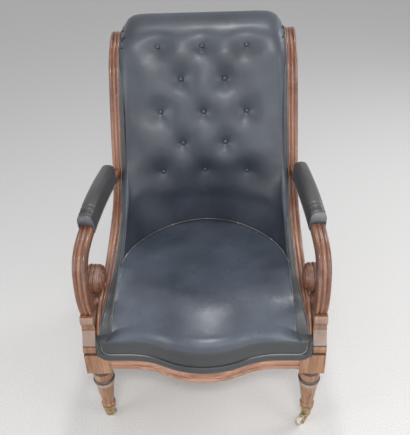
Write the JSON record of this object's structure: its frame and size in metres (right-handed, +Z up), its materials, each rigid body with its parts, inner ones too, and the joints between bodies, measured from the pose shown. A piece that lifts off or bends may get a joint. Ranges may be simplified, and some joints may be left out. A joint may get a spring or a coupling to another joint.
{
  "type": "leather armchair",
  "caption": "Scroll armchair: reeded side frames, buttoned rolled back, sprung seat with a serpentine front, padded arms, turned front legs and swivel castors.",
  "frame": {"origin": "on the floor, at the middle of the chair's outer box", "axes": "+X across to the right as seen by someone facing the chair, +Y from the front to the back, +Z up"},
  "size_m": [0.6138, 0.7401, 0.9811],
  "materials": {
    "mahogany": "old French polish, worn on the reeds",
    "inner_wood": "bare beech",
    "leather": "glossy worn hide",
    "leather_trim": "worn binding and welt",
    "webbing": "jute weave",
    "steel": "dull wire",
    "brass": "tarnished",
    "china": "glazed white china"
  },
  "bodies": {
    "root": {"side_frame_left": "mahogany", "side_frame_right": "mahogany", "front_leg_left": "mahogany", "front_leg_right": "mahogany", "rear_leg_left": "mahogany", "rear_leg_right": "mahogany", "arm_left": "mahogany", "arm_right": "mahogany", "arm_boss_left": "mahogany", "arm_boss_right": "mahogany", "front_rail": "mahogany", "side_rail_left": "inner_wood", "side_rail_right": "inner_wood", "rear_rail": "inner_wood", "low_back_bar": "inner_wood", "crest_rail": "inner_wood", "corner_blocks": "inner_wood", "seat_cushion": "leather", "back_cushion": "leather", "arm_pad_left": "leather", "arm_pad_right": "leather", "back_buttons": "leather", "side_cover_left": "leather", "side_cover_right": "leather", "back_cover": "leather", "edge_binding_left": "leather_trim", "edge_binding_right": "leather_trim", "seat_welt": "leather_trim", "seat_webbing": "webbing", "spring_canvas": "webbing", "seat_springs": "steel", "socket_front_left": "brass", "socket_front_right": "brass", "socket_rear_left": "brass", "socket_rear_right": "brass"},
    "front_left_fork": {"fork_front_left": "brass", "axle_front_left": "steel"},
    "front_left_wheel": {"wheel_front_left": "china"},
    "front_right_fork": {"fork_front_right": "brass", "axle_front_right": "steel"},
    "front_right_wheel": {"wheel_front_right": "china"},
    "rear_left_fork": {"fork_rear_left": "brass", "axle_rear_left": "steel"},
    "rear_left_wheel": {"wheel_rear_left": "china"},
    "rear_right_fork": {"fork_rear_right": "brass", "axle_rear_right": "steel"},
    "rear_right_wheel": {"wheel_rear_right": "china"}
  },
  "joints": [
    {"name": "front_left_swivel", "type": "hinge", "parent": "root", "child": "front_left_fork", "pos_m": [-0.274, -0.28395, 0.03665], "axis": [0, 0, 1], "continuous": true},
    {"name": "front_left_roll", "type": "hinge", "parent": "front_left_fork", "child": "front_left_wheel", "pos_m": [-0.2733, -0.26396, 0.016], "axis": [0.9994, -0.0349, 0], "continuous": true},
    {"name": "front_right_swivel", "type": "hinge", "parent": "root", "child": "front_right_fork", "pos_m": [0.274, -0.28395, 0.03665], "axis": [0, 0, 1], "continuous": true},
    {"name": "front_right_roll", "type": "hinge", "parent": "front_right_fork", "child": "front_right_wheel", "pos_m": [0.25868, -0.29681, 0.016], "axis": [-0.6428, 0.766, 0], "continuous": true},
    {"name": "rear_left_swivel", "type": "hinge", "parent": "root", "child": "rear_left_fork", "pos_m": [-0.24282, 0.22685, 0.03665], "axis": [0, 0, 1], "continuous": true},
    {"name": "rear_left_roll", "type": "hinge", "parent": "rear_left_fork", "child": "rear_left_wheel", "pos_m": [-0.23935, 0.24655, 0.016], "axis": [0.9848, -0.1736, 0], "continuous": true},
    {"name": "rear_right_swivel", "type": "hinge", "parent": "root", "child": "rear_right_fork", "pos_m": [0.24282, 0.22685, 0.03665], "axis": [0, 0, 1], "continuous": true},
    {"name": "rear_right_roll", "type": "hinge", "parent": "rear_right_fork", "child": "rear_right_wheel", "pos_m": [0.23935, 0.24655, 0.016], "axis": [0.9848, 0.1736, 0], "continuous": true}
  ]
}
